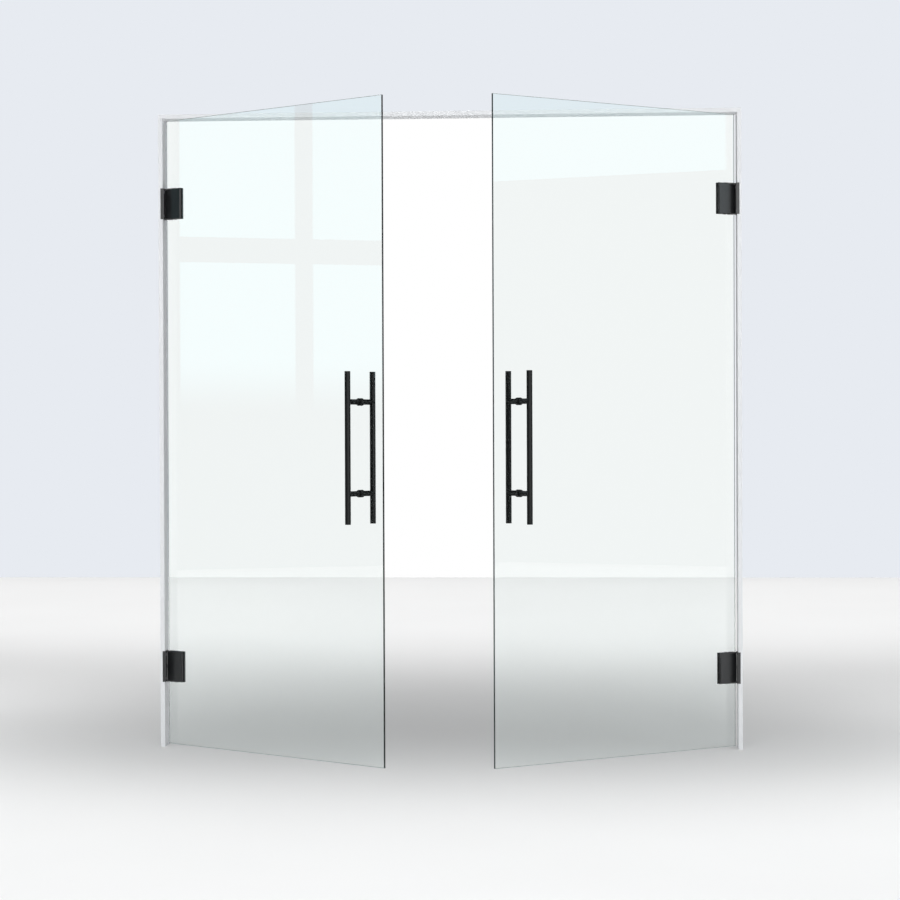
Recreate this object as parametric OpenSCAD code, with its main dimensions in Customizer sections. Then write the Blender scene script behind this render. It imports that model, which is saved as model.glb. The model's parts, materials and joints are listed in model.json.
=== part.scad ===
// Pair of frameless glass entrance doors in a slim three-sided lining.
// Millimetres, +Z up. The origin is on the floor, midway between the jambs, in the plane of the closed leaves.
// The leaves are drawn part open, swung towards -Y, the side from which the door is seen.

/* [Opening] */
// Clear width between the jambs
opening_w = 2000; // [1700:10:2400]
// Clear height from the floor to the header
opening_h = 2200; // [2050:10:2500]
// How far both leaves stand open, in degrees
open_angle = 35; // [0:1:80]

/* [Frame] */
// Thickness of the jambs and the header
frame_t = 15; // [13:0.5:30]
// Depth of the lining, front to back
frame_d = 80; // [60:1:140]
// Distance from the plane of the closed leaves to the front of the lining
frame_front = 24; // [24:1:40]
// How deep the header is housed in each jamb
header_let_in = 4; // [2:0.5:6]
// Small bevel along the inner edges of the lining
frame_bevel = 1; // [0.4:0.1:2]
// Diameter of the wall fixing holes
fixing_d = 7; // [5:0.5:9]
// Countersink diameter of the wall fixing holes
fixing_head_d = 13; // [12:0.5:16]
// Height of the lowest and drop of the highest jamb fixing
fixing_end = 120; // [80:5:180]
// Spacing of the middle pair of jamb fixings
fixing_mid_pitch = 700; // [500:10:900]
// Spacing of the pair of header fixings
fixing_head_pitch = 1200; // [800:10:1500]
// Thread diameter of the screws that join the header to the jambs
corner_screw_d = 5; // [4:0.5:6]
// Length of those screws
corner_screw_l = 32; // [25:1:50]

/* [Glass leaves] */
// Thickness of the toughened glass
glass_t = 8; // [8:1:12]
// Ground bevel on the edges of the glass
glass_arris = 0.8; // [0.4:0.1:1.5]
// Gap between a closed leaf and its jamb
side_gap = 6; // [6:0.5:12]
// Gap between the two closed leaves
centre_gap = 5; // [3:0.5:10]
// Gap under the header
top_gap = 4; // [3:0.5:10]
// Gap above the floor
bottom_gap = 8; // [5:0.5:15]

/* [Hinges] */
// Height of a hinge
hinge_h = 108; // [104:1:130]
// Drop of the upper hinge's middle below the header
upper_hinge_drop = 297; // [200:1:450]
// Height of the lower hinge's middle above the floor
lower_hinge_rise = 281; // [200:1:450]
// Thickness of the wall bracket's plate
bracket_t = 12; // [11:0.5:14]
// How far the bracket stands out of the jamb
bracket_proud = 4; // [3:0.5:6]
// Depth of the wall bracket, front to back
bracket_d = 48; // [44:1:48]
// Distance from the bracket's face to the pivot axis
pivot_reach = 20; // [20:0.5:26]
// Thickness of the bracket's two knuckles, above and below the clamp
knuckle_t = 4; // [3:0.5:6]
// Wall of a knuckle around its bush
knuckle_wall = 2.5; // [2:0.25:4]
// Diameter of the pivot pin
pin_d = 12; // [10:0.5:13]
// Wall of the pivot bushes
bush_wall = 1.5; // [1:0.1:2]
// Thickness of the bush flange that carries the leaf
flange_t = 1; // [0.8:0.1:2]
// Reach of the clamp plates beyond the pivot
clamp_reach = 56; // [52:1:90]
// Thickness of the clamp plates
clamp_t = 6; // [5:0.5:7]
// Bevel around the outer faces of the clamp plates
clamp_bevel = 2; // [1:0.25:3]
// Thickness of the gaskets between clamp and glass
gasket_t = 1; // [0.5:0.1:1.5]
// Width of the clamp bridge that the clamp screws pass through
bridge_w = 18; // [15:0.5:22]
// Distance between the two screws of a clamp
clamp_screw_pitch = 66; // [40:1:74]
// Thread diameter of the hinge screws
hinge_screw_d = 6; // [5:0.5:6]
// Diameter of the spring plunger that presses on the heel of the clamp
plunger_d = 12; // [8:0.5:13]
// Length of the spring plunger
plunger_l = 5; // [4:0.5:6]
// Length of the plug behind the spring
plug_l = 4; // [3:0.5:5]

/* [Handles] */
// Overall length of a pull bar
bar_l = 500; // [380:5:900]
// Diameter of a pull bar
bar_d = 19; // [16:0.5:25]
// Wall of the pull bar's tube
bar_wall = 2; // [1.5:0.25:3]
// Thickness of the flat end caps
cap_t = 3; // [2:0.5:5]
// Distance between the two standoffs
standoff_pitch = 300; // [200:5:600]
// Diameter of a standoff
standoff_d = 18; // [14:0.5:18]
// Distance from the middle of the glass to a bar's axis
bar_offset = 64.5; // [55:0.5:80]
// Distance from a leaf's free edge to its handle
handle_inset = 98; // [60:1:150]
// Height of the handle's middle above the floor
handle_height = 1050; // [900:5:1150]
// Diameter of the collars at the glass
collar_d = 25; // [23:0.5:30]
// Length of a collar
collar_l = 6; // [5:0.5:14]
// Thickness of the soft washers between collar and glass
washer_t = 1; // [0.5:0.1:2]
// Diameter of the studs that join the two sides
stud_d = 8; // [6:0.5:9]
// Diameter of the handle holes in the glass
glass_hole_d = 14; // [13:0.5:18]
// Diameter of the grub screws that lock the rear standoffs
grub_d = 5; // [4:0.5:6]

/* [Hidden] */
$fn = 48;
left = -1;
right = 1;
front = -1;
rear = 1;

// Clearances that every fit below takes its size from
running_clear = 0.05;
seat_clear = 0.02;
rebate_clear = 0.2;
hole_clear = 0.3;
swing_clear = 1;
knuckle_clear = 2;
notch_clear = 2;
parting_gap = 0.4;
socket_clear = 0.4;
// Overshoot of a cut past the face it opens through
cut = 1;

// Pivot axis and leaf edges, in the leaf's own frame with the pivot at x = 0
pivot_in = bracket_proud + pivot_reach;
pivot_x = opening_w / 2 - pivot_in;
hinge_edge_x = -(pivot_in - side_gap);
free_edge_x = pivot_x - centre_gap / 2;
leaf_top = opening_h - top_gap;
upper_z = opening_h - upper_hinge_drop;
lower_z = lower_hinge_rise;
hinge_heights = [upper_z, lower_z];

// Clamp section across the glass, from the middle of the glass outwards
clamp_in = glass_t / 2 + gasket_t;
clamp_out = clamp_in + clamp_t;
swing_r = pivot_reach - swing_clear;
clamp_back = min(sqrt(pow(swing_r, 2) - pow(clamp_out - clamp_bevel, 2)),
                 clamp_bevel + sqrt(pow(swing_r, 2) - pow(clamp_out, 2)));
bush_od = pin_d + 2 * running_clear + 2 * bush_wall;
knuckle_r = bush_od / 2 + knuckle_wall;
knuckle_in = hinge_h / 2 - knuckle_t;
recess_x = knuckle_r + knuckle_clear;
recess_z = knuckle_in - flange_t - running_clear;
boss_x = recess_x + bridge_w;
boss_back = clamp_back - notch_clear;
notch_x = boss_x + notch_clear;
notch_z = hinge_h / 2 + notch_clear;
notch_corner_r = 6;
gasket_edge = 1;
pin_end = hinge_h / 2 - hole_clear;

// Screws of the hinges and of the frame corners
hinge_head_d = 2 * hinge_screw_d;
bracket_screw_y = bracket_d / 2 - hinge_head_d / 2 - 1;
bracket_screw_z = hinge_h / 2 - hinge_head_d;
bracket_bite = frame_t - (bracket_t - bracket_proud) - 1;
bracket_screw_l = bracket_t + bracket_bite - 0.5;
clamp_screw_x = recess_x + bridge_w / 2;
clamp_skin = 2.5;
clamp_screw_l = 2 * clamp_out - clamp_skin - hole_clear;
corner_head_d = 2 * corner_screw_d;
corner_screw_y = [frame_d / 4, 3 * frame_d / 4];

// Detent in the bracket's plate: plunger, spring and plug in one bore behind the heel of the clamp
flange_d = 2 * knuckle_r - 2;
plunger_tip = swing_r + hole_clear;
plunger_end = plunger_tip + plunger_l;
bracket_back = pivot_reach + bracket_t;
plug_shoulder = bracket_back - plug_l;
plug_d = plunger_d + 2;
spring_d = plunger_d - socket_clear;
spring_bore_d = plunger_d * 0.4;

// Handle places, in the leaf's own frame
handle_x = free_edge_x - handle_inset;
standoff_heights = [handle_height - standoff_pitch / 2, handle_height + standoff_pitch / 2];
collar_in = glass_t / 2 + washer_t;
spigot_d = standoff_d * 0.625;
spigot_tip = bar_offset - bar_d / 2 + bar_wall + 2;
stud_front = collar_in + 1.5 * stud_d;
grub_y = collar_in + collar_l + grub_d / 2 + 3;
stud_rear = grub_y + grub_d / 2 + 2;
cap_spigot_l = 8;

frame_colour = [0.80, 0.81, 0.82];
black_colour = [0.06, 0.06, 0.065];
steel_colour = [0.62, 0.63, 0.65];
glass_colour = [0.75, 0.86, 0.84, 0.35];
rubber_colour = [0.12, 0.12, 0.12];
nylon_colour = [0.10, 0.10, 0.10];

// Puts a left-hand piece on its own side of the opening
module on_side(side) {
    if (side == right) mirror([1, 0, 0]) children();
    else children();
}

// From the pivot's frame to the fixed frame of one jamb
module on_jamb(side) {
    on_side(side) translate([-pivot_x, 0, 0]) children();
}

// From the pivot's frame to one leaf, which stands open
module on_leaf(side) {
    on_jamb(side) rotate([0, 0, -open_angle]) children();
}

module at_both_hinges() {
    for (z = hinge_heights) translate([0, 0, z]) children();
}

module at_standoffs() {
    for (z = standoff_heights) translate([handle_x, 0, z]) children();
}

// Turns +Z to the side of the glass that is named
module across_glass(face) {
    rotate([face == front ? 90 : -90, 0, 0]) children();
}

// Countersunk socket screw along -Z, with its head's top at z = 0
module countersunk_screw(d, head_d, l) {
    tip = d / 8;
    difference() {
        rotate_extrude() polygon([
            [0, 0], [head_d / 2, 0], [d / 2, -(head_d - d) / 2],
            [d / 2, tip - l], [d / 2 - tip, -l], [0, -l]
        ]);
        translate([0, 0, -d / 3]) cylinder(d = 0.75 * d, h = d / 3 + cut, $fn = 6);
    }
}

// Hole for such a screw: the head sinks in, then a bore of its own diameter runs down
module countersunk_hole(bore_d, head_d, l) {
    sink = (head_d - bore_d) / 2;
    translate([0, 0, -l]) cylinder(d = bore_d, h = l + cut);
    translate([0, 0, -sink]) cylinder(d1 = bore_d, d2 = head_d, h = sink);
    cylinder(d = head_d, h = cut);
}

// Flat section of the lining with its two inner edges bevelled; x = 0 is the face towards the doorway
module lining_section() {
    polygon([
        [-frame_t, -frame_front], [-frame_bevel, -frame_front], [0, frame_bevel - frame_front],
        [0, frame_d - frame_front - frame_bevel], [-frame_bevel, frame_d - frame_front],
        [-frame_t, frame_d - frame_front]
    ]);
}

fixing_y = frame_d / 2 - frame_front;
jamb_h = opening_h + frame_t;
jamb_fixings = [
    fixing_end, jamb_h / 2 - fixing_mid_pitch / 2, jamb_h / 2 + fixing_mid_pitch / 2, jamb_h - fixing_end
];

// Screw axes of the frame's corner joint, pointing into the jamb's outer face
module at_corner_screws() {
    for (y = corner_screw_y)
        translate([-opening_w / 2 - frame_t, y - frame_front, opening_h + frame_t / 2])
            rotate([0, -90, 0]) children();
}

// Screw axes of one bracket, pointing into its face
module at_bracket_screws() {
    for (y = [-bracket_screw_y, bracket_screw_y], z = [-bracket_screw_z, bracket_screw_z])
        translate([-pivot_reach, y, z]) rotate([0, 90, 0]) children();
}

module at_clamp_screws() {
    for (z = [-clamp_screw_pitch / 2, clamp_screw_pitch / 2])
        translate([clamp_screw_x, clamp_out, z]) rotate([-90, 0, 0]) children();
}

module jamb(side) {
    color(frame_colour) on_side(side) difference() {
        translate([-opening_w / 2, 0, 0]) linear_extrude(jamb_h) lining_section();
        translate([-opening_w / 2 - header_let_in, -frame_front - cut, opening_h])
            cube([header_let_in + cut, frame_d + 2 * cut, frame_t + cut]);
        translate([-pivot_x, 0, 0]) at_both_hinges() {
            translate([-bracket_back, -frame_front - cut, -hinge_h / 2 - rebate_clear])
                cube([bracket_t + cut, frame_front + bracket_d / 2 + rebate_clear + cut, hinge_h + 2 * rebate_clear]);
            at_bracket_screws() translate([0, 0, -bracket_t - bracket_bite])
                cylinder(d = hinge_screw_d + 2 * running_clear, h = bracket_bite + cut);
        }
        for (z = jamb_fixings) translate([-opening_w / 2, fixing_y, z]) rotate([0, 90, 0])
            countersunk_hole(fixing_d, fixing_head_d, frame_t + cut);
        at_corner_screws()
            countersunk_hole(corner_screw_d + hole_clear, corner_head_d + hole_clear, frame_t + cut);
    }
}

module header() {
    length = opening_w + 2 * header_let_in;
    color(frame_colour) difference() {
        translate([-length / 2, 0, opening_h]) rotate([0, 90, 0]) linear_extrude(length) lining_section();
        for (x = [-fixing_head_pitch / 2, fixing_head_pitch / 2])
            translate([x, fixing_y, opening_h]) rotate([180, 0, 0])
                countersunk_hole(fixing_d, fixing_head_d, frame_t + cut);
        for (side = [left, right]) on_side(side) at_corner_screws()
            translate([0, 0, -corner_screw_l - 1])
                cylinder(d = corner_screw_d + 2 * running_clear, h = corner_screw_l + 1);
    }
}

module corner_screws() {
    color(steel_colour) for (side = [left, right]) on_side(side) at_corner_screws()
        countersunk_screw(corner_screw_d, corner_head_d, corner_screw_l);
}

// Puts a piece at the upper end of a hinge, and mirrored at the lower end
module at_both_ends() {
    for (end = [0, 1]) mirror([0, 0, end]) children();
}

// Tongue with a round nose that holds one end of the pin
module knuckle() {
    translate([-pivot_reach - cut, -knuckle_r, knuckle_in])
        cube([pivot_reach + cut, 2 * knuckle_r, knuckle_t]);
    translate([0, 0, knuckle_in]) cylinder(r = knuckle_r, h = knuckle_t);
}

// Wall bracket: a let-in plate with the detent's bore, and two knuckles that reach over and under the clamp
module wall_bracket(side, z) {
    plate_bevel = 1;
    color(black_colour) on_jamb(side) translate([0, 0, z]) difference() {
        union() {
            translate([-bracket_back, 0, -hinge_h / 2]) linear_extrude(hinge_h) polygon([
                [0, -bracket_d / 2], [bracket_t - plate_bevel, -bracket_d / 2],
                [bracket_t, plate_bevel - bracket_d / 2], [bracket_t, bracket_d / 2 - plate_bevel],
                [bracket_t - plate_bevel, bracket_d / 2], [0, bracket_d / 2]
            ]);
            at_both_ends() knuckle();
        }
        cylinder(d = bush_od + 2 * seat_clear, h = hinge_h + 2 * cut, center = true);
        translate([-plug_shoulder - cut, 0, 0]) rotate([0, 90, 0])
            cylinder(d = plunger_d + 2 * running_clear, h = plug_shoulder - pivot_reach + 2 * cut);
        translate([-bracket_back - cut, 0, 0]) rotate([0, 90, 0])
            cylinder(d = plug_d + 2 * seat_clear, h = plug_l + cut);
        at_bracket_screws()
            countersunk_hole(hinge_screw_d + hole_clear, hinge_head_d + hole_clear, bracket_t + cut);
    }
}

module bracket_screws() {
    color(steel_colour) for (side = [left, right]) on_jamb(side) at_both_hinges() at_bracket_screws()
        countersunk_screw(hinge_screw_d, hinge_head_d, bracket_screw_l);
}

module pivot_bush() {
    rotate_extrude() polygon([
        [pin_d / 2 + running_clear, knuckle_in - flange_t], [flange_d / 2, knuckle_in - flange_t],
        [flange_d / 2, knuckle_in], [bush_od / 2, knuckle_in],
        [bush_od / 2, hinge_h / 2], [pin_d / 2 + running_clear, hinge_h / 2]
    ]);
}

module knuckle_bushes() {
    color(nylon_colour) for (side = [left, right]) on_jamb(side) at_both_hinges() at_both_ends() pivot_bush();
}

// A turned piece of the detent bore, from one distance behind the pivot to another
module in_detent_bore(from, to, d, bore_d = 0) {
    translate([-to, 0, 0]) rotate([0, 90, 0]) difference() {
        cylinder(d = d, h = to - from);
        if (bore_d > 0) translate([0, 0, -cut]) cylinder(d = bore_d, h = to - from + 2 * cut);
    }
}

module detent_plungers() {
    color(nylon_colour) for (side = [left, right]) on_jamb(side) at_both_hinges()
        in_detent_bore(plunger_tip, plunger_end, plunger_d);
}

module detent_springs() {
    color([0.75, 0.45, 0.12]) for (side = [left, right]) on_jamb(side) at_both_hinges()
        in_detent_bore(plunger_end, plug_shoulder, spring_d, spring_bore_d);
}

module spring_plugs() {
    key_d = plug_d / 2;
    color(steel_colour) for (side = [left, right]) on_jamb(side) at_both_hinges() difference() {
        in_detent_bore(plug_shoulder, bracket_back - hole_clear, plug_d);
        translate([-bracket_back, 0, 0]) rotate([0, 90, 0]) cylinder(d = key_d, h = plug_l / 2, $fn = 6);
    }
}

// Sheet of glass with ground arrises, notched for the hinges and drilled for the handle
module glass(side) {
    half = glass_t / 2;
    color(glass_colour) on_leaf(side) difference() {
        intersection() {
            translate([0, 0, bottom_gap]) linear_extrude(leaf_top - bottom_gap) polygon([
                [hinge_edge_x + glass_arris, -half], [free_edge_x - glass_arris, -half],
                [free_edge_x, glass_arris - half], [free_edge_x, half - glass_arris],
                [free_edge_x - glass_arris, half], [hinge_edge_x + glass_arris, half],
                [hinge_edge_x, half - glass_arris], [hinge_edge_x, glass_arris - half]
            ]);
            translate([hinge_edge_x, 0, 0]) rotate([90, 0, 90]) linear_extrude(free_edge_x - hinge_edge_x) polygon([
                [-half, bottom_gap + glass_arris], [glass_arris - half, bottom_gap],
                [half - glass_arris, bottom_gap], [half, bottom_gap + glass_arris],
                [half, leaf_top - glass_arris], [half - glass_arris, leaf_top],
                [glass_arris - half, leaf_top], [-half, leaf_top - glass_arris]
            ]);
        }
        at_both_hinges() rotate([90, 0, 0]) linear_extrude(glass_t + 2 * cut, center = true) hinge_notch();
        at_standoffs() rotate([90, 0, 0]) cylinder(d = glass_hole_d, h = glass_t + 2 * cut, center = true);
    }
}

// Outline of the notch in the glass, with its two inner corners rounded
module hinge_notch() {
    inner = notch_x - notch_corner_r;
    translate([hinge_edge_x - cut, -notch_z]) square([inner - hinge_edge_x + cut, 2 * notch_z]);
    translate([hinge_edge_x, notch_corner_r - notch_z])
        square([notch_x - hinge_edge_x, 2 * (notch_z - notch_corner_r)]);
    for (z = [notch_corner_r - notch_z, notch_z - notch_corner_r]) translate([inner, z]) circle(r = notch_corner_r);
}

module pivot_pin(side, z) {
    tip = 1;
    color(steel_colour) on_leaf(side) translate([0, 0, z]) rotate_extrude() polygon([
        [0, -pin_end], [pin_d / 2 - tip, -pin_end], [pin_d / 2, tip - pin_end],
        [pin_d / 2, pin_end - tip], [pin_d / 2 - tip, pin_end], [0, pin_end]
    ]);
}

// Half of a clamp on the +y side: bevelled plate, boss that fills the notch, seat of the pin, and a recess
// at each back corner in which the knuckles turn
module clamp_half() {
    half_h = hinge_h / 2;
    difference() {
        union() {
            intersection() {
                translate([0, 0, -half_h]) linear_extrude(hinge_h) polygon([
                    [-clamp_back, clamp_in], [clamp_reach, clamp_in], [clamp_reach, clamp_out - clamp_bevel],
                    [clamp_reach - clamp_bevel, clamp_out], [clamp_bevel - clamp_back, clamp_out],
                    [-clamp_back, clamp_out - clamp_bevel]
                ]);
                translate([-clamp_back, 0, 0]) rotate([90, 0, 90]) linear_extrude(clamp_back + clamp_reach) polygon([
                    [clamp_in, -half_h], [clamp_out - clamp_bevel, -half_h], [clamp_out, clamp_bevel - half_h],
                    [clamp_out, half_h - clamp_bevel], [clamp_out - clamp_bevel, half_h], [clamp_in, half_h]
                ]);
            }
            translate([-boss_back, parting_gap / 2, -recess_z])
                cube([boss_back + boss_x, clamp_in + clamp_t / 2 - parting_gap / 2, 2 * recess_z]);
        }
        at_both_ends() translate([-clamp_back - cut, -cut, recess_z])
            cube([clamp_back + recess_x + cut, clamp_out + 2 * cut, half_h]);
        cylinder(d = pin_d + 2 * seat_clear, h = hinge_h, center = true);
    }
}

module rear_clamp(side, z) {
    color(black_colour) on_leaf(side) translate([0, 0, z]) difference() {
        clamp_half();
        at_clamp_screws() countersunk_hole(hinge_screw_d + hole_clear, hinge_head_d + hole_clear, clamp_out + cut);
    }
}

module front_clamp(side, z) {
    color(black_colour) on_leaf(side) translate([0, 0, z]) difference() {
        mirror([0, 1, 0]) clamp_half();
        at_clamp_screws() translate([0, 0, -2 * clamp_out + clamp_skin])
            cylinder(d = hinge_screw_d + 2 * running_clear, h = clamp_out);
    }
}

module clamp_screws(side) {
    color(steel_colour) on_leaf(side) at_both_hinges() at_clamp_screws()
        countersunk_screw(hinge_screw_d, hinge_head_d, clamp_screw_l);
}

// Gaskets that lie between the clamp plates and the glass
module hinge_gaskets(side) {
    width = clamp_reach - gasket_edge - notch_x;
    height = hinge_h - 2 * gasket_edge;
    color(rubber_colour) on_leaf(side) at_both_hinges() for (face = [front, rear])
        translate([notch_x, face * (clamp_in - gasket_t / 2) - gasket_t / 2, -height / 2])
            cube([width, gasket_t, height]);
}

// Straight pull bar: a tube with a side hole for each standoff's spigot
module pull_bar(side, face) {
    tube_l = bar_l - 2 * cap_t;
    color(black_colour) on_leaf(side) difference() {
        translate([handle_x, face * bar_offset, handle_height]) difference() {
            cylinder(d = bar_d, h = tube_l, center = true);
            cylinder(d = bar_d - 2 * bar_wall, h = tube_l + 2 * cut, center = true);
        }
        at_standoffs() across_glass(face) cylinder(d = spigot_d + 2 * running_clear, h = bar_offset);
    }
}

module bar_cap() {
    edge = 0.8;
    rotate_extrude() polygon([
        [0, -cap_spigot_l], [bar_d / 2 - bar_wall - running_clear, -cap_spigot_l],
        [bar_d / 2 - bar_wall - running_clear, 0], [bar_d / 2, 0], [bar_d / 2, cap_t - edge],
        [bar_d / 2 - edge, cap_t], [0, cap_t]
    ]);
}

module bar_caps(side) {
    color(black_colour) on_leaf(side) for (face = [front, rear], end = [0, 1])
        translate([handle_x, face * bar_offset, handle_height]) mirror([0, 0, end])
            translate([0, 0, bar_l / 2 - cap_t]) bar_cap();
}

// Standoff along +Z from the washer to the bar, saddled to the bar and drilled for the stud
module standoff(stud_depth) {
    difference() {
        union() {
            difference() {
                translate([0, 0, collar_in]) cylinder(d = standoff_d, h = bar_offset - collar_in);
                translate([0, 0, bar_offset]) rotate([90, 0, 0])
                    cylinder(d = bar_d + 2 * running_clear, h = 2 * standoff_d, center = true);
            }
            translate([0, 0, bar_offset - bar_d]) cylinder(d = spigot_d, h = spigot_tip - bar_offset + bar_d);
        }
        cylinder(d = stud_d + 2 * running_clear, h = stud_depth + 1);
    }
}

module front_standoffs(side) {
    color(black_colour) on_leaf(side) at_standoffs() across_glass(front) standoff(stud_front);
}

module rear_standoffs(side) {
    color(black_colour) on_leaf(side) at_standoffs() difference() {
        across_glass(rear) standoff(stud_rear);
        translate([0, grub_y, -standoff_d]) cylinder(d = grub_d + 2 * running_clear, h = standoff_d);
    }
}

module collars(side) {
    edge = 1;
    bore_r = standoff_d / 2 + running_clear;
    color(black_colour) on_leaf(side) at_standoffs() for (face = [front, rear]) across_glass(face)
        translate([0, 0, collar_in]) rotate_extrude() polygon([
            [bore_r, 0], [collar_d / 2, 0], [collar_d / 2, collar_l - edge],
            [collar_d / 2 - edge, collar_l], [bore_r, collar_l]
        ]);
}

module washers(side) {
    color(nylon_colour) on_leaf(side) at_standoffs() for (face = [front, rear]) across_glass(face)
        translate([0, 0, glass_t / 2]) difference() {
            cylinder(d = collar_d, h = washer_t);
            translate([0, 0, -cut]) cylinder(d = stud_d + 2 * hole_clear, h = washer_t + 2 * cut);
        }
}

module sleeves(side) {
    color(nylon_colour) on_leaf(side) at_standoffs() rotate([90, 0, 0]) difference() {
        cylinder(d = glass_hole_d - 2 * running_clear, h = glass_t, center = true);
        cylinder(d = stud_d + 2 * running_clear, h = glass_t + 2 * cut, center = true);
    }
}

module studs(side) {
    color(steel_colour) on_leaf(side) at_standoffs() translate([0, -stud_front, 0]) rotate([-90, 0, 0])
        cylinder(d = stud_d, h = stud_front + stud_rear);
}

module grub_screws(side) {
    length = (standoff_d - stud_d) / 2 - hole_clear;
    key_d = grub_d / 2;
    color(steel_colour) on_leaf(side) at_standoffs() translate([0, grub_y, -stud_d / 2 - length - running_clear])
        difference() {
            cylinder(d = grub_d, h = length);
            translate([0, 0, -cut]) cylinder(d = key_d, h = length / 2 + cut, $fn = 6);
        }
}

jamb(left);  // left_jamb
jamb(right);  // right_jamb
header();
corner_screws();
wall_bracket(left, upper_z);  // left_upper_bracket
wall_bracket(left, lower_z);  // left_lower_bracket
wall_bracket(right, upper_z);  // right_upper_bracket
wall_bracket(right, lower_z);  // right_lower_bracket
bracket_screws();
knuckle_bushes();
detent_plungers();
detent_springs();
spring_plugs();
glass(left);  // left_glass
pivot_pin(left, upper_z);  // left_upper_pin
pivot_pin(left, lower_z);  // left_lower_pin
front_clamp(left, upper_z);  // left_upper_front_clamp
rear_clamp(left, upper_z);  // left_upper_rear_clamp
front_clamp(left, lower_z);  // left_lower_front_clamp
rear_clamp(left, lower_z);  // left_lower_rear_clamp
hinge_gaskets(left);  // left_hinge_gaskets
clamp_screws(left);  // left_clamp_screws
pull_bar(left, front);  // left_front_bar
pull_bar(left, rear);  // left_rear_bar
bar_caps(left);  // left_bar_caps
front_standoffs(left);  // left_front_standoffs
rear_standoffs(left);  // left_rear_standoffs
collars(left);  // left_collars
washers(left);  // left_washers
sleeves(left);  // left_sleeves
studs(left);  // left_studs
grub_screws(left);  // left_grub_screws
glass(right);  // right_glass
pivot_pin(right, upper_z);  // right_upper_pin
pivot_pin(right, lower_z);  // right_lower_pin
front_clamp(right, upper_z);  // right_upper_front_clamp
rear_clamp(right, upper_z);  // right_upper_rear_clamp
front_clamp(right, lower_z);  // right_lower_front_clamp
rear_clamp(right, lower_z);  // right_lower_rear_clamp
hinge_gaskets(right);  // right_hinge_gaskets
clamp_screws(right);  // right_clamp_screws
pull_bar(right, front);  // right_front_bar
pull_bar(right, rear);  // right_rear_bar
bar_caps(right);  // right_bar_caps
front_standoffs(right);  // right_front_standoffs
rear_standoffs(right);  // right_rear_standoffs
collars(right);  // right_collars
washers(right);  // right_washers
sleeves(right);  // right_sleeves
studs(right);  // right_studs
grub_screws(right);  // right_grub_screws
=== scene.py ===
# %% [markdown]
# # A pair of glass entrance doors
# The construction of this door is already fixed: lining, glass, hinges and pull bars come in as a frame of
# exact solids, in metres. This lesson models again the pieces whose soft edges and round forms matter to
# the eye, gives every surface its finish, and sets up a plain studio around the door.

# %% Load the frame
import json
import math

import bmesh
import bpy
from mathutils import Matrix, Vector


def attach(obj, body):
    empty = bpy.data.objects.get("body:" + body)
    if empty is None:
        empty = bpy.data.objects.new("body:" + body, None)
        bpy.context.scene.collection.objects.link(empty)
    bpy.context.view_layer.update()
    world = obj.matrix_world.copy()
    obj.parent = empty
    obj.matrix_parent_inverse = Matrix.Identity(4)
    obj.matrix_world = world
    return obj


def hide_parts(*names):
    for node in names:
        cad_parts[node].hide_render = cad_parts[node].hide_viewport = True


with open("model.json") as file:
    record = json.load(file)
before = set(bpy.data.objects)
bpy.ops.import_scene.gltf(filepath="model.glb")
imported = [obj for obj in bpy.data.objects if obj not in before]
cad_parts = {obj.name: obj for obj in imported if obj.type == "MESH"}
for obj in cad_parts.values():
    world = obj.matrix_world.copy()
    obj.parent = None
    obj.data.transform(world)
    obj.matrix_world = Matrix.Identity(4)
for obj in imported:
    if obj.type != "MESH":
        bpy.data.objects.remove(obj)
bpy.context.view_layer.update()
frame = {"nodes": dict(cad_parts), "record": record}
nodes = frame["nodes"]
bpy.ops.object.select_all(action="DESELECT")

# %% [markdown]
# ## The camera
# The picture is taken a little right of the middle, about a metre off the floor and with a long lens, so
# the leaves keep almost their true proportions. A camera can be aimed with a target and a constraint, but
# three small turns are clearer when they are written out as angles: left, down and a slight tilt.

# %% Camera
picture_px = 900
focal_px = 2272
sensor_mm = 36
eye = Vector((0.490, -7.911, 1.108))
yaw, pitch, roll = (math.radians(angle) for angle in (3.52, 0.51, -0.21))

bpy.ops.object.camera_add()
camera = bpy.context.object
camera.name = "camera"
camera.data.sensor_width = sensor_mm
camera.data.lens = focal_px / picture_px * sensor_mm
camera.matrix_world = (
    Matrix.Translation(eye)
    @ Matrix.Rotation(yaw, 4, "Z")
    @ Matrix.Rotation(math.radians(90) - pitch, 4, "X")
    @ Matrix.Rotation(roll, 4, "Z")
)
bpy.context.scene.camera = camera
print("lens", round(camera.data.lens, 1), "mm")

# %% [markdown]
# ## Writing shaders as sums
# A material is a net of nodes, and a net drawn by hand hides the idea in boxes and links. Here one small
# class stands for a socket that carries a number, so that plus, minus and times on it add Math nodes.

# %% A socket with arithmetic
class Number:
    """A socket that carries a number; arithmetic on it adds Math nodes to its net."""

    def __init__(self, net, socket):
        self.net, self.socket = net, socket

    def calculate(self, operation, *values):
        made = self.net.node("Math", {"operation": operation}, dict(enumerate(values)))
        return Number(self.net, made.outputs[0])

    def __add__(self, other):
        return self.calculate("ADD", self, other)

    def __sub__(self, other):
        return self.calculate("SUBTRACT", self, other)

    def __rsub__(self, other):
        return self.calculate("SUBTRACT", other, self)

    def __mul__(self, other):
        return self.calculate("MULTIPLY", self, other)

    def __truediv__(self, other):
        return self.calculate("DIVIDE", self, other)

    def __lt__(self, other):
        return self.calculate("LESS_THAN", self, other)

    def __abs__(self):
        return self.calculate("ABSOLUTE", self)

    __radd__ = __add__
    __rmul__ = __mul__


print("numbers understand + - * / < and abs")

# %% [markdown]
# A second class is the net itself, of a material, a lamp or the world. Its one method `node` adds any other
# node: first its settings, then the values or links of its sockets. The rest are short names for nodes that
# come up again and again. A finish is a net that already has its shader and knows where it is on a piece.

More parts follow.
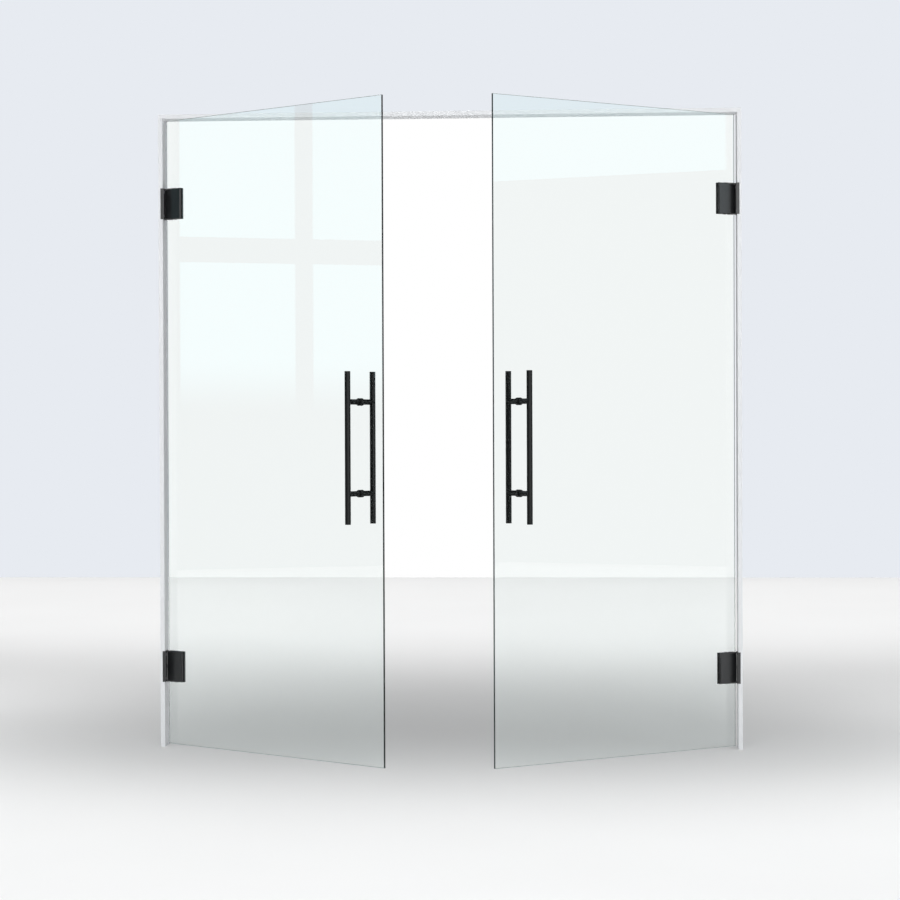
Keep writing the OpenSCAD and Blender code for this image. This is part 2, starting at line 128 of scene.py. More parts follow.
# %% A net of nodes
class Net:
    """A node tree, of a material, a lamp or the world."""

    def __init__(self, tree):
        self.tree = tree

    def node(self, kind, settings=None, sockets=None):
        made = self.tree.nodes.new("ShaderNode" + kind)
        for key, setting in (settings or {}).items():
            setattr(made, key, setting)
        for key, value in (sockets or {}).items():
            self.feed(made.inputs[key], value)
        return made

    def feed(self, socket, value):
        if isinstance(value, Number):
            value = value.socket
        if isinstance(value, bpy.types.NodeSocket):
            self.tree.links.new(value, socket)
        else:
            socket.default_value = value

    def number(self, socket):
        return Number(self, socket)

    def blend(self, amount, first, second):
        """A colour between two others."""
        made = self.node("Mix", {"data_type": "RGBA"}, {"Factor": amount, 6: first, 7: second})
        return made.outputs[2]

    def dot(self, vector, direction):
        made = self.node("VectorMath", {"operation": "DOT_PRODUCT"}, {0: vector, 1: direction})
        return self.number(made.outputs["Value"])

    def parts(self, vector):
        """The three numbers of a vector."""
        return [self.number(part) for part in self.node("SeparateXYZ", None, {0: vector}).outputs]

    def ramp(self, value, start, end, low=0, high=1):
        """A number that goes smoothly from low to high."""
        made = self.node(
            "MapRange",
            {"interpolation_type": "SMOOTHSTEP"},
            {"Value": value, "From Min": start, "From Max": end, "To Min": low, "To Max": high},
        )
        return self.number(made.outputs["Result"])


class Finish(Net):
    """A material on one Principled BSDF, with patterns on object coordinates, so that they stay put."""

    def __init__(self, name):
        self.material = bpy.data.materials.new(name)
        self.material.use_nodes = True
        super().__init__(self.material.node_tree)
        self.shader = self.tree.nodes["Principled BSDF"]
        self.place = self.node("TexCoord").outputs

    def surface(self, **sockets):
        for key, value in sockets.items():
            self.feed(self.shader.inputs[key.replace("_", " ")], value)

    def noise(self, grain_mm, detail=2.0):
        """Noise whose grains are about as large as given."""
        sockets = {"Vector": self.place["Object"], "Scale": 1000 / grain_mm, "Detail": detail}
        return self.number(self.node("TexNoise", None, sockets).outputs["Fac"])

    def relief(self, height, depth_mm, strength):
        sockets = {"Height": height, "Distance": depth_mm / 1000, "Strength": strength}
        return self.node("Bump", None, sockets).outputs["Normal"]


print("a finish is a net with one shader")

# %% [markdown]
# ## Coated aluminium
# The lining is flat bar with a satin pale grey coat. A sprayed coat is never dead flat: it has a fine
# orange peel about a millimetre across, and its gloss drifts a little over a hand's width. Both come from
# noise, the first as a very shallow relief and the second as roughness and a breath of colour.

# %% Finish of the lining
coat = Finish("lining_coat")
peel = coat.noise(1.2, 3.0)
drift = coat.noise(160)
coat.surface(
    Base_Color=coat.blend(drift, (0.73, 0.74, 0.76, 1), (0.77, 0.78, 0.80, 1)),
    Roughness=0.34 + 0.14 * drift,
    Normal=coat.relief(peel, 0.06, 0.12),
)
print(coat.material.name, "takes", len(coat.tree.nodes), "nodes")

# %% [markdown]
# ## Black coats
# The hinges are brass under a satin black coat, and the pull bars are stainless steel under a dead matt
# one. The two differ in grain: the satin coat is tight and clouds only slightly, while the matt powder
# shows a fine sandy relief. Hands polish the bars at gripping height, so their gloss rises there.

# %% Finishes of the hinges and the handles
satin = Finish("hinge_satin_black")
grain = satin.noise(0.6, 3.0)
cloud = satin.noise(30)
satin.surface(
    Base_Color=satin.blend(cloud, (0.008, 0.009, 0.010, 1), (0.014, 0.015, 0.016, 1)),
    Roughness=0.32 + 0.12 * cloud,
    Normal=satin.relief(grain, 0.08, 0.12),
)

powder = Finish("handle_matt_black")
sand = powder.noise(0.45, 3.0)
wear = powder.noise(60)
grip_height, grip_full, grip_end = 1.05, 0.05, 0.22
height = powder.parts(powder.place["Object"])[2]
grip = 1 - powder.ramp(abs(height - grip_height), grip_full, grip_end)
powder.surface(
    Base_Color=powder.blend(wear, (0.003, 0.004, 0.004, 1), (0.006, 0.007, 0.007, 1)),
    Roughness=0.40 + 0.10 * wear - 0.06 * grip,
    Specular_IOR_Level=0.15,
    Normal=powder.relief(sand, 0.10, 0.18),
)
print("black coats:", satin.material.name, "and", powder.material.name)

# %% [markdown]
# ## Glass
# Clear float glass is faintly green: a few parts in a hundred of the red light are lost on the way through
# the sheet, but nearly all of it along the sheet, which is why its edges look dark. The green of the faces
# is not painted on: it is an absorption inside the solid. Only the ground edges need more: they are found
# by their direction, which is not that of the sheet, and get a fine frosting; the level ones a pale green
# tint. The upright ones, where the eye looks into the whole width of a leaf, get a painted shade, near black.

# %% Finish of the leaves
sides = ("left", "right")
open_angle = math.radians(35)


def glass_finish(side):
    clear = Finish(side + "_glass_clear")
    facing = Vector((-math.sin(open_angle), -math.cos(open_angle), 0))
    if side == "right":
        facing.x = -facing.x
    edge = abs(clear.dot(clear.place["Normal"], facing)) < 0.9
    level_edge = abs(clear.dot(clear.place["Normal"], (0, 0, 1)))
    # Painted shade: the upright edges are coloured near black for the light lost along the sheet; level edges
    # get a pale green tint.
    edge_tint_and_painted_shade = clear.blend(level_edge, (0.02, 0.035, 0.04, 1), (0.72, 0.86, 0.82, 1))
    clear.surface(
        Base_Color=clear.blend(edge, (1, 1, 1, 1), edge_tint_and_painted_shade),
        Roughness=0.16 * edge,
        IOR=1.52,
        Transmission_Weight=1.0,
    )
    tint = clear.node("VolumeAbsorption", None, {"Color": (0.12, 0.62, 0.50, 1), "Density": 8.0})
    clear.feed(clear.tree.nodes["Material Output"].inputs["Volume"], tint.outputs["Volume"])
    return clear


glass_finishes = {side: glass_finish(side) for side in sides}
print("glass:", [glass.material.name for glass in glass_finishes.values()])

# %% [markdown]
# ## Small parts
# Gaskets are sheet rubber with a dusty bloom, washers and bushes are black nylon with a moulded skin, the
# detent springs are amber cast elastomer, and the screws are plain stainless steel with fine turning marks.

# %% Finishes of the small parts
rubber = Finish("gasket_rubber")
bloom = rubber.noise(3)
rubber.surface(
    Base_Color=rubber.blend(bloom, (0.022, 0.022, 0.022, 1), (0.040, 0.040, 0.040, 1)),
    Roughness=0.66 + 0.16 * bloom,
    Normal=rubber.relief(rubber.noise(0.8), 0.05, 0.3),
)
nylon = Finish("bush_nylon")
skin = nylon.noise(1.5)
nylon.surface(
    Base_Color=nylon.blend(skin, (0.020, 0.020, 0.020, 1), (0.032, 0.032, 0.032, 1)),
    Roughness=0.38 + 0.14 * skin,
    Normal=nylon.relief(skin, 0.04, 0.3),
)
amber = Finish("spring_elastomer")
swirl = amber.noise(6)
amber.surface(
    Base_Color=amber.blend(swirl, (0.46, 0.20, 0.035, 1), (0.60, 0.29, 0.06, 1)),
    Roughness=0.30 + 0.15 * swirl,
)
steel = Finish("screw_steel")
turning = steel.noise(0.5, 4.0)
steel.surface(
    Base_Color=(0.56, 0.57, 0.59, 1),
    Metallic=1.0,
    Roughness=0.22 + 0.18 * turning,
    Normal=steel.relief(turning, 0.02, 0.25),
)
print("small parts:", [finish.material.name for finish in (rubber, nylon, amber, steel)])

# %% [markdown]
# ## Dressing the frame's own pieces
# The record says which material slot each solid belongs to. Pieces whose shape is already right only get a
# finish for their slot, and their meshes stay as they are. The sheet of glass also stops taking part in
# shadows and in light that bounces between matt surfaces: a ray that bends through it would count twice.

# %% Dress every solid
slot_of = {row["node"]: row["material_slot"] for row in frame["record"]["subparts"]}
finish_of = {
    "frame_paint": coat,
    "hinge_black": satin,
    "handle_black": powder,
    "gasket_rubber": rubber,
    "bush_plastic": nylon,
    "spring_rubber": amber,
    "screw_steel": steel,
}
for name, solid in nodes.items():
    solid.data.materials.clear()
    if slot_of[name] == "clear_glass":
        solid.data.materials.append(glass_finishes[name.split("_")[0]].material)
        solid.visible_shadow = False
        solid.visible_diffuse = False
    else:
        solid.data.materials.append(finish_of[slot_of[name]].material)
print("dressed", len(nodes), "solids from", len(finish_of) + 1, "slots")

# %% [markdown]
# ## Modelling by operators
# The hinges and handles are modelled again by hand, because turned and cast pieces have rounded edges that
# catch the light. Each starts as a cube or a rod at its real size, in millimetres from the hinge's pivot,
# and is shaped with the same tools as in the edit window.

# %% Starting shapes
mm = 0.001


def block(name, low, high):
    """A cube stretched between two corners."""
    bpy.ops.object.select_all(action="DESELECT")
    bpy.ops.mesh.primitive_cube_add(size=1)
    made = bpy.context.object
    made.name = name
    made.location = (Vector(low) + Vector(high)) / 2 * mm
    made.scale = (Vector(high) - Vector(low)) * mm
    bpy.ops.object.transform_apply(location=True, rotation=True, scale=True)
    return made


def rod(name, radius, foot, tip, tip_radius=None):
    """A round bar between two points, which may taper."""
    along = Vector(tip) - Vector(foot)
    bpy.ops.object.select_all(action="DESELECT")
    bpy.ops.mesh.primitive_cone_add(
        vertices=64,
        radius1=radius * mm,
        radius2=(tip_radius or radius) * mm,
        depth=along.length * mm,
    )
    made = bpy.context.object
    made.name = name
    made.location = (Vector(foot) + Vector(tip)) / 2 * mm
    made.rotation_euler = along.to_track_quat("Z", "Y").to_euler()
    bpy.ops.object.transform_apply(location=True, rotation=True, scale=True)
    return made


print("shapes start as a block or a rod")

# %% [markdown]
# In the edit window, faces and edges are picked by eye. Here they are picked by a small test on their middle
# and their direction. Holes and welds are Boolean modifiers, and soft edges a Bevel modifier, which are
# applied at once, so that the next tool finds a finished mesh.

# %% Selecting, cutting and rounding
def pick(piece, kind, wanted):
    """Selects, in edit mode, the faces or edges whose middle and direction are wanted."""
    bpy.context.view_layer.objects.active = piece
    bpy.ops.object.mode_set(mode="EDIT")
    bpy.ops.mesh.select_mode(type=kind)
    bpy.ops.mesh.select_all(action="DESELECT")
    mesh = bmesh.from_edit_mesh(piece.data)
    if kind == "FACE":
        for face in mesh.faces:
            face.select_set(wanted(face.calc_center_median() / mm, face.normal))
    else:
        for edge in mesh.edges:
            first, second = (corner.co for corner in edge.verts)
            edge.select_set(wanted((first + second) / 2 / mm, (second - first).normalized()))
    bmesh.update_edit_mesh(piece.data)


def leave_edit():
    bpy.ops.object.mode_set(mode="OBJECT")


def apply(piece, change):
    bpy.ops.object.select_all(action="DESELECT")
    piece.select_set(True)
    bpy.context.view_layer.objects.active = piece
    bpy.ops.object.modifier_apply(modifier=change.name)


def combine(piece, tool, operation):
    """Welds a tool to a piece, or cuts it out of the piece, and removes the tool."""
    change = piece.modifiers.new("combine", "BOOLEAN")
    change.operation, change.object, change.solver = operation, tool, "MANIFOLD"
    apply(piece, change)
    bpy.data.objects.remove(tool)


def soften(piece, radius):
    """Rounds every edge that is still sharp."""
    change = piece.modifiers.new("soft edges", "BEVEL")
    change.limit_method, change.angle_limit = "ANGLE", math.radians(40)
    change.width, change.segments = radius * mm, 2
    apply(piece, change)


print("tools: pick, combine and soften")

# %% [markdown]
# ## Copies in their places
# What repeats is modelled once. A copy gets its own mesh and goes from the pivot's frame to its place: the
# leaf stands open by a turn about the pivot, and the right-hand side is the left one mirrored. A mirror
# turns a mesh inside out, so the normals are worked out again. Weighted normals keep broad faces flat
# beside their rounded edges.

# %% Placing copies
pivot_x = 976
hinge_heights = {"upper": 1903, "lower": 281}


def seat(side, turn, height):
    left_hand = Matrix.Translation((-pivot_x * mm, 0, height * mm)) @ Matrix.Rotation(-turn, 4, "Z")
    return left_hand if side == "left" else Matrix.Scale(-1, 4, (1, 0, 0)) @ left_hand


def copy_to(model, places):
    """One new object, made of a copy of the model at each place."""
    copies = []
    for place in places:
        copy = model.copy()
        copy.data = model.data.copy()
        bpy.context.scene.collection.objects.link(copy)
        copy.matrix_world = place
        bpy.ops.object.select_all(action="DESELECT")
        copy.select_set(True)
        bpy.context.view_layer.objects.active = copy
        bpy.ops.object.transform_apply(location=True, rotation=True, scale=True)
        copies.append(copy)
    for copy in copies:
        copy.select_set(True)
    bpy.ops.object.join()
    return bpy.context.object


def install(model, name, places, body, *replaced):
    """Copies a model into place, finishes its surface and lets it stand for the solids it replaces."""
    piece = copy_to(model, places)
    piece.name = piece.data.name = name
    bpy.ops.object.mode_set(mode="EDIT")
    bpy.ops.mesh.select_all(action="SELECT")
    bpy.ops.mesh.remove_doubles(threshold=0.01 * mm)
    bpy.ops.mesh.normals_make_consistent(inside=False)
    leave_edit()
    bpy.ops.object.shade_smooth_by_angle(angle=math.radians(32))
    change = piece.modifiers.new("flat faces", "WEIGHTED_NORMAL")
    change.keep_sharp = True
    apply(piece, change)
    slot = slot_of[replaced[0]]
    piece.data.materials.clear()
    piece.data.materials.append(finish_of[slot].material)
    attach(piece, body)
    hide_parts(*replaced)
    return piece


print("pivots stand", pivot_x, "mm from the middle, hinges at", list(hinge_heights.values()), "mm")

# %% [markdown]
# ## The clamp plates of a hinge
# Each hinge grips the glass between two plates, 6 mm thick. A boss on the inside of each fills a notch in
# the glass and holds half of the pivot pin, and a recess at each back corner leaves room for the knuckles
# of the bracket. The plate is a cube whose outer edges are rounded by a bevel; the boss is welded on and the
# recesses are cut out.

# %% A clamp plate
hinge_half_h = 54
clamp_back, clamp_reach = 16.73, 56
clamp_in, clamp_out = 5, 11
recess_x, recess_z = 12.05, 48.95
boss_back, boss_x, parting = 14.73, 30.05, 0.2
pin_seat_r = 6.02
corner_r, rim_r, edge_r = 0.8, 3, 0.25


def at_end(end, inner, outer):
    """The lowest and highest level of something at the upper end (1) or the lower end (-1) of a hinge."""
    return sorted((end * inner, end * outer))


clamp = block("clamp_plate", (-clamp_back, clamp_in, -hinge_half_h), (clamp_reach, clamp_out, hinge_half_h))
pick(clamp, "EDGE", lambda at, along: abs(along.y) > 0.9)
bpy.ops.mesh.bevel(offset=corner_r * mm, segments=3, affect="EDGES")
pick(clamp, "FACE", lambda at, facing: facing.y > 0.9)
bpy.ops.mesh.region_to_loop()
bpy.ops.mesh.bevel(offset=rim_r * mm, segments=5, affect="EDGES")
leave_edit()
boss = block("boss", (-boss_back, parting, -recess_z), (boss_x, clamp_in + 3, recess_z))
combine(clamp, boss, "UNION")
for end in (-1, 1):
    low, high = at_end(end, recess_z, hinge_half_h + 1)
    recess = block("recess", (-clamp_back - 1, -1, low), (recess_x, clamp_out + 1, high))
    combine(clamp, recess, "DIFFERENCE")
pin_seat = rod("pin_seat", pin_seat_r, (0, 0, -hinge_half_h), (0, 0, hinge_half_h))
combine(clamp, pin_seat, "DIFFERENCE")
print("clamp plate has", len(clamp.data.polygons), "faces")

# %% [markdown]
# The rear plate carries the two countersunk screws that pull the pair together; the front plate hides their
# threads. So the rear plate is a copy with two drilled and countersunk holes, and the front one is the
# plain plate, mirrored through the glass.

# %% Rear and front plates
screw_x, screw_z = 21.05, 33
hole_r, sink_r = 3.15, 6.15


def countersink(piece, face, inward, length):
    """Drills a hole from a point on a face, and widens its mouth for a countersunk head."""
    face, inward = Vector(face), Vector(inward)
    depth = sink_r - hole_r
    hole = rod("hole", hole_r, face + inward * length, face - inward)
    combine(piece, hole, "DIFFERENCE")
    sink = rod("sink", hole_r, face + inward * depth, face - inward, sink_r + 1)
    combine(piece, sink, "DIFFERENCE")


rear_clamp = copy_to(clamp, [Matrix.Identity(4)])
for z in (-screw_z, screw_z):
    countersink(rear_clamp, (screw_x, clamp_out, z), (0, -1, 0), clamp_out + 1)
soften(rear_clamp, edge_r)
soften(clamp, edge_r)
front_clamp = copy_to(clamp, [Matrix.Scale(-1, 4, (0, 1, 0))])

for side in sides:
    for level, height in hinge_heights.items():
        place = seat(side, open_angle, height)
        for face, model in (("front", front_clamp), ("rear", rear_clamp)):
            name = f"{side}_{level}_{face}"
            install(model, name + "_plate", [place], side + "_leaf", name + "_clamp")
for model in (clamp, front_clamp, rear_clamp):
    bpy.data.objects.remove(model)
print("clamp plates stand for 8 solids")

# %% [markdown]
# ## The brackets in the jambs
# A bracket is a plate let into the jamb, with a round-nosed knuckle above and another below the clamp, which
# carry the pin. The nose needs no cylinder: when the two front edges of a block are bevelled by half its
# width, they meet in a half round.

# %% A bracket
plate_face, plate_back, plate_half_d = -20, -32, 24
knuckle_r, knuckle_in = 10.05, 50
plate_rim_r, knuckle_rim_r = 1, 1.5

bracket = block(
    "bracket",
    (plate_back, -plate_half_d, -hinge_half_h),
    (plate_face, plate_half_d, hinge_half_h),
)
pick(bracket, "FACE", lambda at, facing: facing.x > 0.9)
bpy.ops.mesh.region_to_loop()
bpy.ops.mesh.bevel(offset=plate_rim_r * mm, segments=3, affect="EDGES")
leave_edit()
for end in (-1, 1):
    low, high = at_end(end, knuckle_in, hinge_half_h)
    knuckle = block("knuckle", (plate_face - 2, -knuckle_r, low), (knuckle_r, knuckle_r, high))
    pick(knuckle, "EDGE", lambda at, along: abs(along.z) > 0.9 and at.x > 0)
    bpy.ops.mesh.bevel(offset=(knuckle_r - 0.01) * mm, segments=18, affect="EDGES")
    pick(knuckle, "FACE", lambda at, facing: abs(facing.z) > 0.9)
    bpy.ops.mesh.region_to_loop()
    bpy.ops.mesh.bevel(offset=knuckle_rim_r * mm, segments=4, affect="EDGES")
    leave_edit()
    combine(bracket, knuckle, "UNION")
print("bracket has", len(bracket.data.polygons), "faces before drilling")

# %% [markdown]
# The bracket is drilled as in a workshop: along the pivot for the bushes, from behind for the plunger of the
# detent and the plug that closes its bore, and from the front for four countersunk screws.

# %% Bores of the bracket
bush_r, plunger_r, plug_r, plug_shoulder = 7.57, 6.05, 7.02, -28
bracket_screw_y, bracket_screw_z = 17, 42

bores = (
    rod("bush_bore", bush_r, (0, 0, -hinge_half_h - 6), (0, 0, hinge_half_h + 6)),
    rod("plunger_bore", plunger_r, (plug_shoulder - 1, 0, 0), (plate_face + 1, 0, 0)),
    rod("plug_bore", plug_r, (plate_back - 1, 0, 0), (plug_shoulder, 0, 0)),
)
for bore in bores:
    combine(bracket, bore, "DIFFERENCE")
for y in (-bracket_screw_y, bracket_screw_y):
    for z in (-bracket_screw_z, bracket_screw_z):
        countersink(bracket, (plate_face, y, z), (-1, 0, 0), plate_face - plate_back + 1)

for side in sides:
    for level, height in hinge_heights.items():
        name = f"{side}_{level}"
        install(bracket, name + "_wall_bracket", [seat(side, 0, height)], "frame", name + "_bracket")
bpy.data.objects.remove(bracket)
print("brackets stand for 4 solids")

# %% [markdown]
# ## The pull bars
# Every leaf has a straight bar on both faces, tube with a flat cap in each end. The tube is a rod with its
# end faces inset by the tube's thickness and pushed in, so that there is a real socket for the cap. The cap
# is a disc with a rounded rim, and its spigot is an inset that is pulled out.

# %% Bars and caps
bar_r, bar_wall, cap_t = 9.5, 2, 3
bar_x, bar_offset = 875.5, 64.5
bar_low, bar_high = 800, 1300
socket_depth, spigot_l, spigot_play = 12, 8, 0.1
joint_r, cap_rim_r = 0.2, 0.8
near = 0.1

bar = rod("pull_bar", bar_r, (0, 0, bar_low + cap_t), (0, 0, bar_high - cap_t))
pick(bar, "FACE", lambda at, facing: abs(facing.z) > 0.9)
bpy.ops.mesh.inset(thickness=bar_wall * mm, use_individual=True)
bpy.ops.mesh.inset(thickness=0, depth=-socket_depth * mm, use_individual=True)
pick(bar, "EDGE", lambda at, along: abs(along.z) < 0.1 and at.xy.length > bar_r - near)
bpy.ops.mesh.bevel(offset=joint_r * mm, segments=2, affect="EDGES")
leave_edit()

cap = rod("cap", bar_r, (0, 0, 0), (0, 0, cap_t))
pick(cap, "EDGE", lambda at, along: at.z > cap_t - near and at.xy.length > 1)
bpy.ops.mesh.bevel(offset=cap_rim_r * mm, segments=4, affect="EDGES")
pick(cap, "EDGE", lambda at, along: at.z < near)
bpy.ops.mesh.bevel(offset=joint_r * mm, segments=2, affect="EDGES")
pick(cap, "FACE", lambda at, facing: facing.z < -0.99 and at.xy.length < 1)
bpy.ops.mesh.inset(thickness=(bar_wall - spigot_play) * mm)
bpy.ops.mesh.inset(thickness=0, depth=spigot_l * mm)
leave_edit()

for side in sides:
    cap_places = []
    for face, y in (("front", -bar_offset), ("rear", bar_offset)):
        along_leaf = seat(side, open_angle, 0) @ Matrix.Translation(Vector((bar_x, y, 0)) * mm)
        install(bar, f"{side}_{face}_pull", [along_leaf], side + "_leaf", f"{side}_{face}_bar")
        upper_end = Matrix.Translation((0, 0, (bar_high - cap_t) * mm))
        lower_end = Matrix.Translation((0, 0, (bar_low + cap_t) * mm)) @ Matrix.Rotation(math.pi, 4, "X")
        cap_places += [along_leaf @ upper_end, along_leaf @ lower_end]
    install(cap, side + "_end_caps", cap_places, side + "_leaf", side + "_bar_caps")
bpy.data.objects.remove(bar)
bpy.data.objects.remove(cap)
print("bars and caps stand for 6 solids")

# %% [markdown]
# ## Posts and collars
# Two posts on each face carry a bar. A post is a rod coped to the bar, which is a cut with a rod of the
# bar's own size. The rear posts have a hole below for their locking screw.

# %% Posts
post_r, collar_in, post_heights = 9, 5, (900, 1200)
cope_play = 0.05
grub_y, grub_hole_r = 16.5, 2.55

front_post = rod("post", post_r, (0, -collar_in, 0), (0, -bar_offset, 0))
cope = rod("cope", bar_r + cope_play, (0, -bar_offset, -40), (0, -bar_offset, 40))
combine(front_post, cope, "DIFFERENCE")
rear_post = copy_to(front_post, [Matrix.Rotation(math.pi, 4, "Z")])
grub_hole = rod("grub_hole", grub_hole_r, (0, grub_y, -20), (0, grub_y, 0))
combine(rear_post, grub_hole, "DIFFERENCE")
print("posts have", len(front_post.data.polygons), "and", len(rear_post.data.polygons), "faces")

# %% [markdown]
# A collar hides where a post meets the glass. It is a disc with a rounded rim: insetting both of its faces
# and bridging the insets opens its bore, as cleanly as a lathe would.

# %% Collars
collar_r, collar_l, collar_bore_r = 12.5, 6, 9.05
collar_rim_r = 1

collar = rod("collar", collar_r, (0, collar_in, 0), (0, collar_in + collar_l, 0))
pick(collar, "EDGE", lambda at, along: at.y > collar_in + collar_l - near)
bpy.ops.mesh.bevel(offset=collar_rim_r * mm, segments=4, affect="EDGES")
pick(collar, "FACE", lambda at, facing: facing.y > 0.99 and at.xz.length < 1)
bpy.ops.mesh.inset(thickness=(collar_r - collar_rim_r - collar_bore_r) * mm)
bpy.ops.mesh.delete(type="FACE")
pick(collar, "FACE", lambda at, facing: facing.y < -0.99 and at.xz.length < 1)
bpy.ops.mesh.inset(thickness=(collar_r - collar_bore_r) * mm)
bpy.ops.mesh.delete(type="FACE")
bpy.ops.mesh.select_mode(type="EDGE")
bpy.ops.mesh.select_non_manifold()
bpy.ops.mesh.bridge_edge_loops()
leave_edit()

for side in sides:
    posts = [
        seat(side, open_angle, height) @ Matrix.Translation((bar_x * mm, 0, 0)) for height in post_heights
    ]
    faces = (Matrix.Identity(4), Matrix.Rotation(math.pi, 4, "Z"))
    rings = [post @ face for post in posts for face in faces]
    install(front_post, side + "_front_posts", posts, side + "_leaf", side + "_front_standoffs")
    install(rear_post, side + "_rear_posts", posts, side + "_leaf", side + "_rear_standoffs")
    install(collar, side + "_rings", rings, side + "_leaf", side + "_collars")
for model in (front_post, rear_post, collar):
    bpy.data.objects.remove(model)
print("posts and collars stand for 6 solids")

# %% [markdown]
# ## The studio
# The door stands on a pale floor with a fine trowelled drift in its tone and gloss. The floor is only the
# stage: a plane, larger than any view of the door.

# %% Floor
floor_near, floor_far, floor_half = -11, 9.1, 11

bpy.ops.object.select_all(action="DESELECT")
bpy.ops.mesh.primitive_plane_add(size=1)
floor = bpy.context.object
floor.name = "floor"
floor.location.y = (floor_near + floor_far) / 2
floor.scale = (2 * floor_half, floor_far - floor_near, 1)
bpy.ops.object.transform_apply(location=True, rotation=True, scale=True)
screed = Finish("floor_screed")
trowel = screed.noise(700)
screed.surface(
    Base_Color=screed.blend(trowel, (0.83, 0.83, 0.83, 1), (0.85, 0.85, 0.85, 1)),
    Roughness=0.62 + 0.10 * trowel,
    Specular_IOR_Level=0.2,
)
floor.data.materials.append(screed.material)
print("floor is", 2 * floor_half, "by", round(floor_far - floor_near, 2), "m")

# %% [markdown]
# Behind the door is nothing but a background, white through the doorway and faintly lilac around it. It could
# be a painted screen, but a screen would catch light and shadow. So it is drawn in the world, by direction.

# %% Backdrop
doorway_middle, doorway_half_w, doorway_half_h = 0.062, 0.126, 0.139
white_ends, lilac_starts = 0.985, 1.005

world = bpy.data.worlds.new("studio")
bpy.context.scene.world = world
world.use_nodes = True
sky = Net(world.node_tree)
direction = sky.node("TexCoord").outputs["Generated"]
across, ahead, upward = sky.parts(direction)
beside = abs(across / ahead + doorway_middle) / doorway_half_w
above = abs(upward / ahead) / doorway_half_h
outside = beside.calculate("MAXIMUM", beside, above)
lilac = sky.ramp(outside, white_ends, lilac_starts)
lilac = lilac.calculate("MAXIMUM", lilac, ahead < 0)
backdrop = sky.blend(lilac, (1, 1, 1, 1), (0.80, 0.83, 0.88, 1))
print("backdrop takes", len(sky.tree.nodes), "nodes")

# %% [markdown]
# The space before the door is never seen directly, only mirrored. The sheets of glass mirror it sharply, and
# show an even dim tone. The black coats mirror it softly: for them it is dark on the left and bright on the
# right, because a round bar looks round only where its two sides mirror different things.

# %% What is mirrored
before_level, dark_level, bright_level = 0.38, 0.08, 1.0
bright_side = (0.9, -0.44, 0)

rays = sky.node("LightPath").outputs
mirrored = 1 - (sky.number(rays["Glossy Depth"]) < 0.5)
sharp = sky.number(rays["Is Singular Ray"])
sharp_level = sky.ramp(ahead, -0.1, 0.6, before_level, 1)
soft_level = sky.ramp(sky.dot(direction, bright_side), 0.2, 0.9, dark_level, bright_level)
level = 1 - mirrored * (1 - sharp * sharp_level - (1 - sharp) * soft_level)
print("world takes", len(sky.tree.nodes), "nodes")

# %% [markdown]
# All this is only what the eye sees, directly, through the glass or mirrored. For light that falls on matt
# surfaces the world is a plain soft fill, so that it does not wash the door out. A Mix Shader chooses between
# the two by the kind of ray that asks.

# %% What is seen and what gives light
fill_strength = 0.40

looking = sky.number(rays["Is Camera Ray"]) + sky.number(rays["Is Transmission Ray"]) + mirrored
direct = looking.calculate("MINIMUM", looking, 1) * (sky.number(rays["Diffuse Depth"]) < 0.5)
seen = sky.node("Background", None, {"Color": backdrop, "Strength": level})
fill = sky.tree.nodes["Background"]
fill.inputs["Color"].default_value = (1, 1, 1, 1)
fill.inputs["Strength"].default_value = fill_strength
either = sky.node("MixShader", None, {0: direct, 1: fill.outputs[0], 2: seen.outputs[0]})
sky.feed(sky.tree.nodes["World Output"].inputs["Surface"], either.outputs[0])
print("matt surfaces get a fill of", fill_strength)

# %% [markdown]
# ## Lamps
# Broad softboxes over the space before the door, behind it and to both sides light the floor, which stays
# quieter under the door itself, and one behind the camera lights its face. The large ones are laid out in
# tiles: the renderer aims at one lamp at a time, and skips small ones that are turned away, so that tiles
# leave less noise than one large sheet of light.

# %% Softboxes
def softbox(name, centre, target, width, height, radiance, colour=(1, 1, 1), spread=180):
    """A rectangular lamp of a given brightness, where 1 is as bright as white paper."""
    bpy.ops.object.light_add(type="AREA", location=centre)
    lamp = bpy.context.object
    lamp.name = name
    lamp.data.shape = "RECTANGLE"
    lamp.data.size, lamp.data.size_y = width, height
    lamp.data.energy = radiance * math.pi * width * height
    lamp.data.color = colour
    lamp.data.spread = math.radians(spread)
    lamp.visible_camera = False
    lamp.rotation_euler = (Vector(target) - Vector(centre)).to_track_quat("-Z", "Y").to_euler()
    return lamp


def ceiling(name, start, end, height, radiance, spread, tiles=4):
    """Softboxes side by side over the floor's whole width."""
    width, depth = 2 * floor_half / tiles, (end - start) / tiles
    for row in range(tiles):
        for column in range(tiles):
            x, y = (column + 0.5) * width - floor_half, start + (row + 0.5) * depth
            softbox(f"{name}_{row}{column}", (x, y, height), (x, y, 0), width, depth, radiance, spread=spread)


ceiling("front_softbox", start=floor_near, end=-0.7, height=2.6, radiance=0.59, spread=60)
ceiling("rear_softbox", start=2.5, end=10.5, height=3.6, radiance=0.72, spread=85)
for side, x in (("left", -6.35), ("right", 6.35)):
    centre, below = (x, 0.3, 2.8), (x, 0.3, 0)
    softbox(side + "_softbox", centre, below, width=9.3, height=3.4, radiance=0.60, spread=60)
face_lamp = softbox(
    "face_softbox", (0, -9.0, 3.0), (0, 0, 1.1), width=7.0, height=4.4, radiance=0.85, spread=80
)
face_lamp.visible_transmission = False

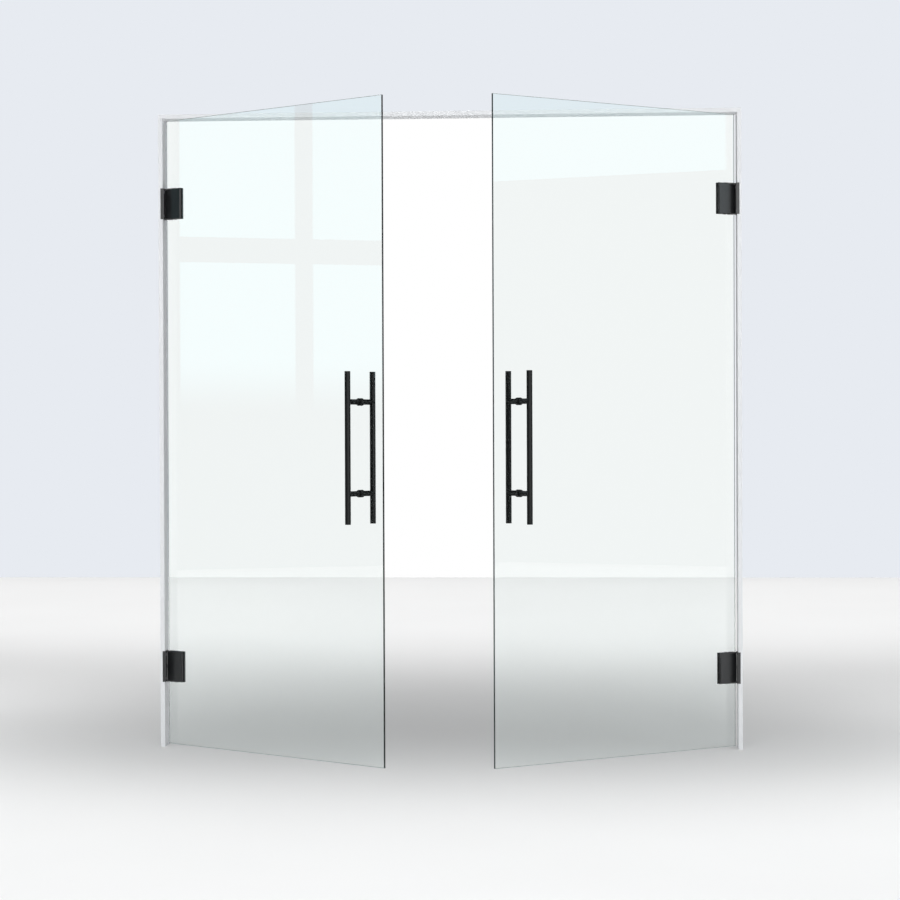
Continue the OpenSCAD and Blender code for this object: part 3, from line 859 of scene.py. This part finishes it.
# %% [markdown]
# A broad lamp towards the front right is mirrored by the black coats alone. It has no place, only a
# direction, like a sun, but it is as wide as two spread hands at arm's length, and matt surfaces and sharp
# mirrors do not see it. A bright patch of the world would look the same, but the renderer can aim at a lamp.

# %% Gleam on the coats
gleam_side = Vector((0.66, -0.74, 0.13))
gleam_level, gleam_half = 4.5, math.radians(21)

bpy.ops.object.light_add(type="SUN")
gleam = bpy.context.object
gleam.name = "gleam"
gleam.data.angle = 2 * gleam_half
gleam.data.energy = gleam_level * math.pi * math.sin(gleam_half) ** 2
gleam.rotation_euler = (-gleam_side).to_track_quat("-Z", "Y").to_euler()
gleam.visible_camera = gleam.visible_diffuse = gleam.visible_transmission = False
gleam.data.use_nodes = True
shine = Net(gleam.data.node_tree)
sharp_ray = shine.number(shine.node("LightPath").outputs["Is Singular Ray"])
shine.feed(shine.tree.nodes["Emission"].inputs["Strength"], 1 - sharp_ray)
print("gleam is", round(math.degrees(gleam.data.angle)), "degrees wide")

# %% [markdown]
# Four dim panes to the left and one to the right are there to be mirrored: without something pale to reflect,
# clear glass is hard to see. The lower panes fade out downwards. A lamp has no texture coordinates of its
# own, but Geometry's Parametric output runs over its face, from 0 at its lower edge to 1 at its upper one.

# %% Panes to be mirrored
pane_tint, pane_level = (0.50, 0.95, 1.04), 0.9
haze = 0.4


def pane(name, x, y, z, width, height):
    """A dim lamp that looks across the doorway."""
    return softbox(name, (x, y, z), (0, y, z), width, height, pane_level, pane_tint)


def fade_out(lamp):
    """Lets a lamp fade towards its lower edge."""
    lamp.data.use_nodes = True
    glow = Net(lamp.data.node_tree)
    upwards = glow.parts(glow.node("NewGeometry").outputs["Parametric"])[1]
    glow.feed(glow.tree.nodes["Emission"].inputs["Strength"], glow.ramp(upwards, 0, haze))


for y, width in ((-1.135, 0.65), (-2.03, 0.935)):
    pane(f"high_pane_{-y:.1f}", -5.5, y, 2.80, width, height=1.24)
    fade_out(pane(f"low_pane_{-y:.1f}", -5.5, y, 1.61, width, height=0.86))
pane("right_pane", 5.6, -2.0, 3.35, width=3.0, height=1.6)

bpy.context.scene.view_settings.view_transform = "Standard"
